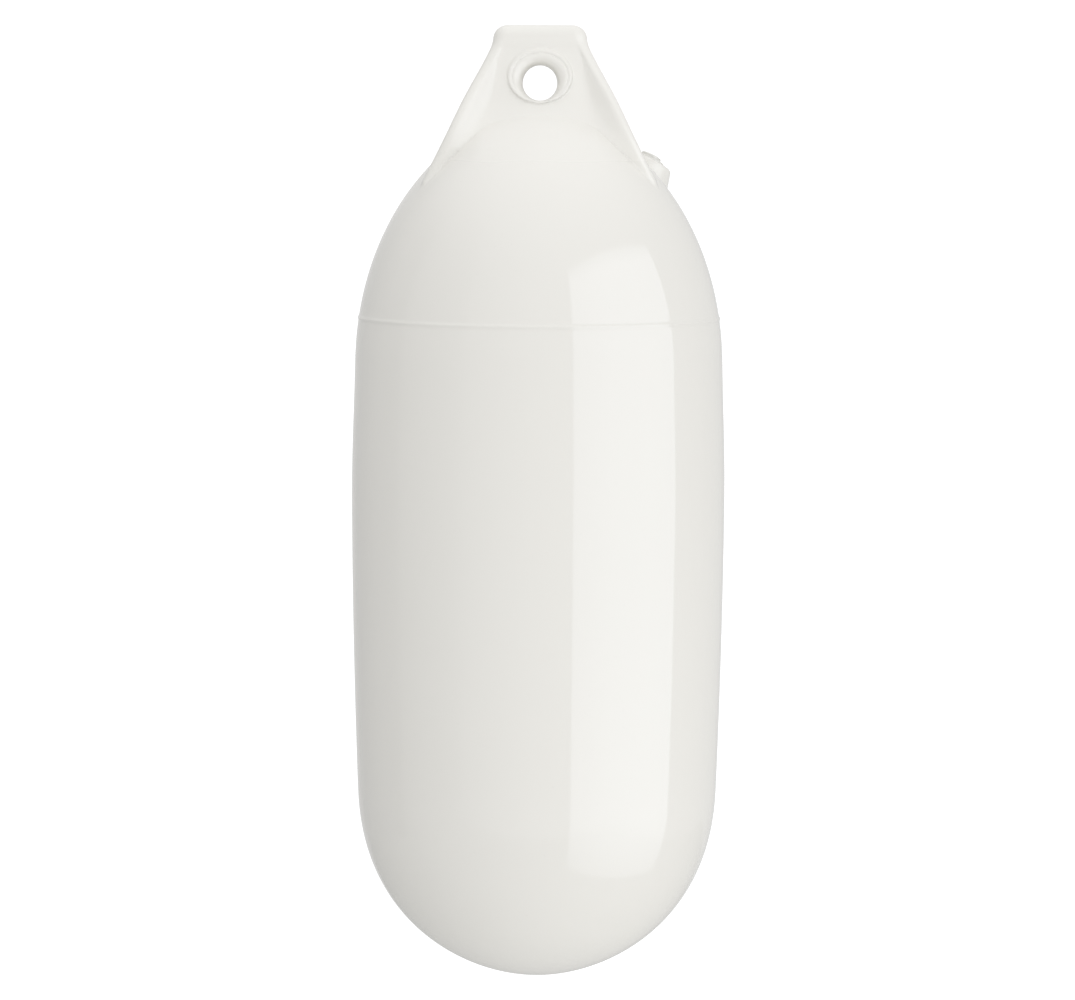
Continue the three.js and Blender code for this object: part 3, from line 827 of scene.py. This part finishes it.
room = world.node_tree.nodes["Background"]
world.node_tree.links.new(with_ceiling(room_walls(ROOM_WALLS)), room.inputs["Color"])
paper = node(world.node_tree, "Background", {"Color": (1, 1, 1, 1), "Strength": PAPER_BRIGHTNESS})
path = node(world.node_tree, "LightPath")
either = node(world.node_tree, "MixShader", {
    0: path.outputs["Is Camera Ray"], 1: room.outputs[0], 2: paper.outputs[0]})
world.node_tree.links.new(either.outputs[0], world.node_tree.nodes["World Output"].inputs["Surface"])
print(f"room of {len(ROOM_WALLS)} wall directions, camera sees paper at {PAPER_BRIGHTNESS}")

# %% [markdown]
# ## Lights
#
# A tall softbox stands to the right, and its reflection is the bright band down the body. Its
# sides, top and bottom fade by different amounts, so it gets a brightness across and one upright,
# multiplied. Its light is a little cooler than the room's. Wide sheets in front, on the right, low
# down and overhead give the soft shading: they light the surface but leave no reflection of their
# own, as a lamp bounced off a wall does.

# %% Lamp helpers
def panel_light(name, size, location, towards, radiance):
    """A rectangular lamp of a width and height in metres, placed and aimed; power = pi area radiance."""
    data = bpy.data.lights.new(name, "AREA")
    data.shape = "RECTANGLE"
    data.size, data.size_y = size
    data.energy = math.pi * size[0] * size[1] * radiance
    lamp = bpy.data.objects.new(name, data)
    bpy.context.scene.collection.objects.link(lamp)
    lamp.location = location
    lamp.rotation_euler = (Vector(towards) - Vector(location)).to_track_quat("-Z", "Y").to_euler()
    print(f"{name}: {size[0]:.2f} x {size[1]:.2f} m")
    return lamp


def stood(azimuth, distance, along, z):
    """A point at a distance from the buoy's axis, and a shift along the panel that stands there."""
    turned = math.radians(azimuth)
    return (distance * math.sin(turned) + along * math.cos(turned),
            along * math.sin(turned) - distance * math.cos(turned), z)


def faded(lamp, across, upright):
    """Brightness over the panel: a ramp across it times a ramp up it."""
    lamp.data.use_nodes = True
    tree = lamp.data.node_tree
    spot = node(tree, "NewGeometry").outputs["Parametric"]
    apart = node(tree, "SeparateXYZ", {0: spot})
    product = node(tree, "VectorMath", {
        0: ramp(tree, apart.outputs["X"], across), 1: ramp(tree, apart.outputs["Y"], upright)},
        operation="MULTIPLY")
    tree.links.new(product.outputs[0], tree.nodes["Emission"].inputs["Color"])


# %% Softbox
SOFTBOX_SIZE, SOFTBOX_RADIANCE, SOFTBOX_COLOUR = (1.1, 1.48), 1.85, (0.87, 0.92, 1.0)
SOFTBOX_AZIMUTH, SOFTBOX_DISTANCE, SOFTBOX_SHIFT, SOFTBOX_MIDDLE = 52, 0.8, 0.057, -0.21
FADE_ACROSS = ((0.0, 0.76), (0.35, 1.0), (0.65, 1.0), (1.0, 0.85))
FADE_UPRIGHT = ((0.0, 0.44), (0.3, 1.0), (0.92, 1.0), (1.0, 0.44))

softbox = panel_light(
    "softbox", SOFTBOX_SIZE, stood(SOFTBOX_AZIMUTH, SOFTBOX_DISTANCE, SOFTBOX_SHIFT, SOFTBOX_MIDDLE),
    stood(SOFTBOX_AZIMUTH, 0, SOFTBOX_SHIFT, SOFTBOX_MIDDLE), SOFTBOX_RADIANCE)
faded(softbox, FADE_ACROSS, FADE_UPRIGHT)
softbox.data.color = SOFTBOX_COLOUR
softbox.visible_diffuse = False

# %% Sheets
# Name, width and height, azimuth and distance, height, height of the point aimed at, radiance
SHEETS = (
    ("front_sheet", (2.2, 2.4), -15, 1.6, 0.0, 0.0, 0.34),
    ("right_sheet", (1.8, 2.4), 75, 1.6, 0.0, 0.0, 0.12),
    ("low_sheet", (1.6, 0.8), 65, 0.9, -1.1, -0.3, 1.15),
    ("top_sheet", (2.0, 2.0), 0, 0.0, 1.2, 0.0, 0.3),
)
for sheet_name, size, azimuth, distance, z, aimed_z, radiance in SHEETS:
    sheet = panel_light(sheet_name, size, stood(azimuth, distance, 0, z), (0, 0, aimed_z), radiance)
    sheet.visible_glossy = False

# %% [markdown]
# ## The floor
#
# A matt pale grey floor lies far below the buoy, out of the picture. The rounded bottom reflects it and
# is lit from it, as it would be in a studio.

# %% Floor
FLOOR_Z, FLOOR_HALF_WIDTH, FLOOR_COLOUR, FLOOR_ROUGHNESS = -1.5, 3, (0.62, 0.62, 0.61, 1), 0.6
corners = [(-1, -1), (1, -1), (1, 1), (-1, 1)]
floor_mesh = bpy.data.meshes.new("floor")
floor_mesh.from_pydata(
    [(x * FLOOR_HALF_WIDTH, y * FLOOR_HALF_WIDTH, FLOOR_Z) for x, y in corners], [], [(0, 1, 2, 3)])
floor = bpy.data.objects.new("floor", floor_mesh)
bpy.context.scene.collection.objects.link(floor)
paint = bpy.data.materials.new("floor_paint")
paint.use_nodes = True
paint_shader = paint.node_tree.nodes["Principled BSDF"]
paint_shader.inputs["Base Color"].default_value = FLOOR_COLOUR
paint_shader.inputs["Roughness"].default_value = FLOOR_ROUGHNESS
floor_mesh.materials.append(paint)
print(f"floor at {FLOOR_Z} m")
